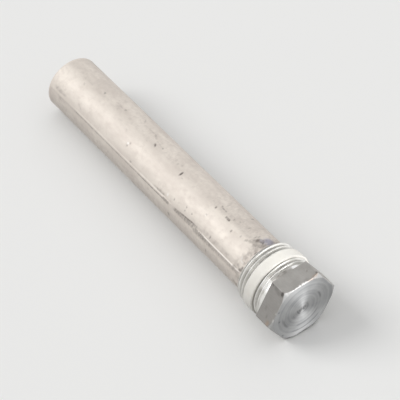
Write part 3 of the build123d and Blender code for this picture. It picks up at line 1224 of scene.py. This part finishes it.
        wall = profile.tagged("wall")[:, None]
        height, soil, bare_and_highlight = self.seam(skin.x, angle)
        grain = Grain(11)
        space = skin.points() / MM
        rough = grain.layers(space, 1.6, 3)
        handled = smooth_step(7.0, 0.5, skin.x - self.start) * np.clip(0.26 + 0.9 * rough, 0.0, 0.5)
        turn = angle_gap(angle, 0.0)
        strip = 0.16 * window(31.0, 38.0, 3.0, turn) * window(18.0, 43.0, 5.0, skin.x)
        # Painted shade: the rod is darkened on its upper-right side (89 to 165 degrees), more so near the
        # plug, and underneath; it goes into both the smudge and the soil marks.
        painted_side_shade = 0.07 + 0.07 * smooth_step(52.0, 34.0, skin.x)
        painted_side_shade = painted_side_shade * window(89.0, 165.0, 8.0, angle) + 0.05 * window(-60.0, 9.0, 6.0, turn)
        smudge_and_side_shade = np.maximum.reduce([handled, strip, painted_side_shade * wall])
        soil = np.maximum(soil, (painted_side_shade + 0.05 * window(-50.0, 21.0, 3.0, turn)) * wall)
        stain, pit = np.zeros_like(soil), np.zeros_like(soil)
        for mark in [*self.marks, *self.back_pits()]:
            cover = mark.cover(skin.x, angle, self.radius)
            ragged = mark.tone * np.clip(1.2 * cover * (1.0 + 1.1 * rough), 0.0, 1.0)
            height = height - mark.depth * cover
            if mark.wear is Wear.FLECK:
                bare_and_highlight = np.maximum(bare_and_highlight, ragged)
                height = height + 0.08 * cover
            elif mark.wear is Wear.STAIN:
                stain = np.maximum(stain, ragged)
            elif mark.wear is Wear.PIT:
                pit = np.maximum(pit, ragged)
            else:
                smudge_and_side_shade = np.maximum(smudge_and_side_shade, ragged)
        waves = grain.layers(space * np.array([0.4, 1.0, 1.0]), 9.0, 2)
        height = height + 0.10 * waves + 0.02 * rough - 0.05
        skin.radius = skin.radius + np.where(wall, height, 0.0)
        skin.marks = {"soil": soil, "smudge_and_side_shade": smudge_and_side_shade, "pit": pit, "bare_and_highlight": bare_and_highlight, "stain": stain}
        return skin.build("rod", [cast])


# ---------------------------------------------------------------------------------------------
# Studio


@dataclass(frozen=True)
class Floor:
    """A plain pale floor under the anode, which lies on its ring, a head corner and the far end."""

    ring_end: float
    ring_radius: float
    rod_end: float
    rod_radius: float
    corner_radius: float
    corner_x: float
    half_size: float = 3000.0
    colour: Colour = (0.87, 0.87, 0.86)
    bounce: Colour = (0.28, 0.28, 0.28)

    def up(self) -> Vector:
        """The floor's normal in the row frame: pitched by ring and rod, rolled onto the corner."""
        pitch = math.asin((self.ring_radius - self.rod_radius) / (self.rod_end - self.ring_end))
        reach = self.drop() + math.sin(pitch) * self.corner_x * -1.0
        lean = math.radians(30.0) - math.acos(min(1.0, reach / math.cos(pitch) / self.corner_radius))
        return Vector((-math.sin(pitch), -math.sin(lean) * math.cos(pitch), math.cos(lean) * math.cos(pitch)))

    def drop(self) -> float:
        """How far the floor lies below the origin, along its normal, in mm."""
        pitch = math.asin((self.ring_radius - self.rod_radius) / (self.rod_end - self.ring_end))
        return math.sin(pitch) * self.ring_end + math.cos(pitch) * self.ring_radius

    def build(self) -> bpy.types.Object:
        """A square sheet across the floor's normal, with a pale matt finish.

        It throws less light back up at the anode than its colour would.
        """
        up = self.up()
        side = up.cross(Vector((1.0, 0.0, 0.0))).normalized()
        front = side.cross(up)
        middle = np.array(up) * -self.drop()
        steps = np.linspace(-self.half_size, self.half_size, 9)
        across, along = np.meshgrid(steps, steps, indexing="ij")
        points = middle + across[..., None] * np.array(front) + along[..., None] * np.array(side)
        index = np.arange(81).reshape(9, 9)
        quads = np.stack([index[:-1, :-1], index[1:, :-1], index[1:, 1:], index[:-1, 1:]], -1).reshape(-1, 4)
        mesh = bpy.data.meshes.new("floor")
        mesh.from_pydata((points.reshape(-1, 3) * MM).tolist(), [], quads[:, ::-1].tolist())
        board = Board("pale_floor")
        tone = board.blend(board.seen(), self.bounce, self.colour)
        board.set(Base_Color=tone, Roughness=1.0, Specular_IOR_Level=0.0)
        mesh.materials.append(board.material)
        floor = bpy.data.objects.new("floor", mesh)
        bpy.context.scene.collection.objects.link(floor)
        return floor


@dataclass(frozen=True)
class Softbox:
    """A square soft lamp that points at the anode."""

    name: str
    place: tuple[float, float, float]  # mm
    size: float  # mm
    power: float  # watts
    aim: tuple[float, float, float] = (50.0, 0.0, 0.0)
    beam: float = 180.0  # degrees, how widely it shines
    flagged: bool = False  # kept off the floor, so that the floor beside the lamp isn't bleached

    def build(self, floor: bpy.types.Object) -> bpy.types.Object:
        """Makes the lamp; a flagged one leaves the floor to the other lights."""
        data = bpy.data.lights.new(self.name, "AREA")
        data.shape = "SQUARE"
        data.size = self.size * MM
        data.energy = self.power
        data.spread = math.radians(self.beam)
        lamp = bpy.data.objects.new(self.name, data)
        bpy.context.scene.collection.objects.link(lamp)
        lamp.location = Vector(self.place) * MM
        lamp.rotation_euler = (Vector(self.aim) - Vector(self.place)).to_track_quat("-Z", "Y").to_euler()
        if self.flagged:
            unlit = bpy.data.collections.new(f"{self.name}_unlit")
            unlit.objects.link(floor)
            unlit.collection_objects[0].light_linking.link_state = "EXCLUDE"
            lamp.light_linking.receiver_collection = unlit
        return lamp


@dataclass(frozen=True)
class BroadLight:
    """The main light: as broad as a large softbox, and equally strong all over the floor."""

    place: tuple[float, float, float] = (520.0, 560.0, 740.0)  # mm, where it shines from
    breadth: float = 32.0  # degrees
    strength: float = 1.29  # watts to the square metre

    def build(self) -> bpy.types.Object:
        """Makes the light, which points at the row's origin."""
        data = bpy.data.lights.new("main_light", "SUN")
        data.angle = math.radians(self.breadth)
        data.energy = self.strength
        light = bpy.data.objects.new("main_light", data)
        bpy.context.scene.collection.objects.link(light)
        light.location = Vector(self.place) * MM
        light.rotation_euler = (-Vector(self.place)).to_track_quat("-Z", "Y").to_euler()
        return light


@dataclass(frozen=True)
class Surround:
    """The world: soft light, stronger from above, seen as a plain pale wall under a grey ceiling."""

    light_low: Colour = (0.30, 0.30, 0.30)
    light_high: Colour = (0.84, 0.84, 0.84)
    wall: Colour = (0.90, 0.90, 0.895)
    ceiling: Colour = (0.46, 0.46, 0.46)
    backdrop: Colour = (0.80, 0.80, 0.79)  # as pale as the far floor

    def build(self) -> None:
        """The camera sees a plain backdrop, mirror and clear rays the room, others the soft light."""
        board = Board("surround", world=True)
        way = board.node("ShaderNodeTexCoord").outputs["Generated"]
        height = board.node("ShaderNodeSeparateXYZ", {0: way}).outputs["Z"]
        room = board.blend(board.spread(height, 0.45, 0.85, 0.0, 1.0), self.wall, self.ceiling)
        light = board.blend(board.spread(height, 0.0, 1.0, 0.0, 1.0), self.light_low, self.light_high)
        lit = board.blend(board.seen(), light, room)
        camera_ray = board.node("ShaderNodeLightPath").outputs["Is Camera Ray"]
        board.set(Color=board.blend(camera_ray, lit, self.backdrop), Strength=1.0)
        bpy.context.scene.world = board.material


@dataclass(frozen=True)
class Camera:
    """The camera: where it looks from, its roll and its lens."""

    heading: float = -34.080  # degrees from +X towards +Y, of the look along the floor
    dip: float = 48.719  # degrees below level
    roll: float = 3.687
    distance: float = 726.246
    aim: tuple[float, float, float] = (46.0, 4.765, 14.069)
    focal_pixels: float = 1946.278
    frame_pixels: int = 400
    sensor: float = 36.0

    def build(self) -> bpy.types.Object:
        """Makes the camera: it looks at aim from distance away, rolled about its own axis."""
        turn, dip, roll = (math.radians(v) for v in (self.heading, self.dip, self.roll))
        look = Vector((math.cos(turn) * math.cos(dip), math.sin(turn) * math.cos(dip), -math.sin(dip)))
        level = Vector((math.sin(turn), -math.cos(turn), 0.0))
        raised = level.cross(look)
        right = level * math.cos(roll) - raised * math.sin(roll)
        up = level * math.sin(roll) + raised * math.cos(roll)
        data = bpy.data.cameras.new("camera")
        data.sensor_width = self.sensor
        data.lens = self.focal_pixels * self.sensor / self.frame_pixels
        data.clip_start, data.clip_end = 0.01, 20.0
        camera = bpy.data.objects.new("camera", data)
        bpy.context.scene.collection.objects.link(camera)
        basis = Matrix((right, up, -look)).transposed().to_4x4()
        basis.translation = (Vector(self.aim) - look * self.distance) * MM
        camera.matrix_world = basis
        bpy.context.scene.camera = camera
        return camera


# ---------------------------------------------------------------------------------------------
# The whole


def box_mm(node: str) -> tuple[Vector, Vector]:
    """A CAD node's lowest and highest corners in millimetres."""
    low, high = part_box(node)
    return Vector(low) / MM, Vector(high) / MM


def hand_over(piece: bpy.types.Object, node: str) -> None:
    """Rides the piece on the body in place of its CAD node and reports it."""
    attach(piece, "root")
    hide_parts(node)
    triangles = sum(len(face.vertices) - 2 for face in piece.data.polygons)
    log.info("%s: %d triangles, in place of %s", piece.name, triangles, node)


def main() -> None:
    """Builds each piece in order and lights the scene."""
    logging.basicConfig(level=logging.INFO, format="%(name)s: %(message)s")
    bpy.context.scene.view_settings.view_transform = "Standard"
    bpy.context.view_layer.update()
    plug_low, plug_high = box_mm("hex_plug")
    ring_low, ring_high = box_mm("sealing_ring")
    rod_low, rod_high = box_mm("magnesium_rod")
    core_low, core_high = box_mm("steel_core")
    pin = next(m for m in frame["record"]["mounts"] if m["name"] == "thread")
    neck_radius = pin["dims"]["r_mm"]
    core_radius = core_high.z

    plug = HexPlug(
        head_thickness=-plug_low.x,
        across_flats=plug_high.z - plug_low.z,
        neck_length=plug_high.x,
        neck_radius=neck_radius,
        core_radius=core_radius,
        hole_bottom=core_low.x,
    )
    # Painted shade: the cone is a darker copy of the neck's plated steel, standing in for the darker
    # reflection on its facets.
    cone = PlatedSteel(
        "cone_steel_painted_darker", (0.40, 0.40, 0.395), (0.32, 0.32, 0.32), roughness=(0.52, 0.62), metal=1.0
    )
    finishes = {
        "neck": PlatedSteel().build(),
        "flat": MattFlat().build(),
        "face": FacedSteel().build(),
        "cone": cone.build(),
    }
    hand_over(plug.build(finishes), "hex_plug")

    ring = SealingRing(ring_low.x, ring_high.x, ring_high.z, neck_radius - plug.thread_depth / 2 + 0.05)
    hand_over(ring.build(WhitePlastic().build()), "sealing_ring")

    rod = MagnesiumRod(rod_low.x, rod_high.x, rod_high.z, core_radius, core_high.x)
    hand_over(rod.build(CastMagnesium().build()), "magnesium_rod")

    core = frame["nodes"]["steel_core"]
    steel = DrawnSteel().build()
    for holder in core.material_slots:
        holder.material = steel
    log.info("steel_core: keeps its CAD mesh, hidden in the plug and the rod")

    floor = Floor(
        ring_end=ring.end - 0.4,
        ring_radius=ring.outer_radius,
        rod_end=rod.end - 1.0,
        rod_radius=rod.radius,
        corner_radius=plug.across_flats / 2 / math.cos(math.radians(30.0)),
        corner_x=-plug.collar_length,
    )
    sheet = floor.build()
    Surround().build()
    BroadLight().build()
    for lamp in (
        Softbox("rim", (560.0, -640.0, 470.0), 170.0, 0.15),
        Softbox("front", (-470.0, -180.0, 120.0), 240.0, 0.29, aim=(-9.0, 0.0, 0.0), beam=60.0, flagged=True),
    ):
        lamp.build(sheet)
    Camera().build()


if __name__ == "__main__":
    main()
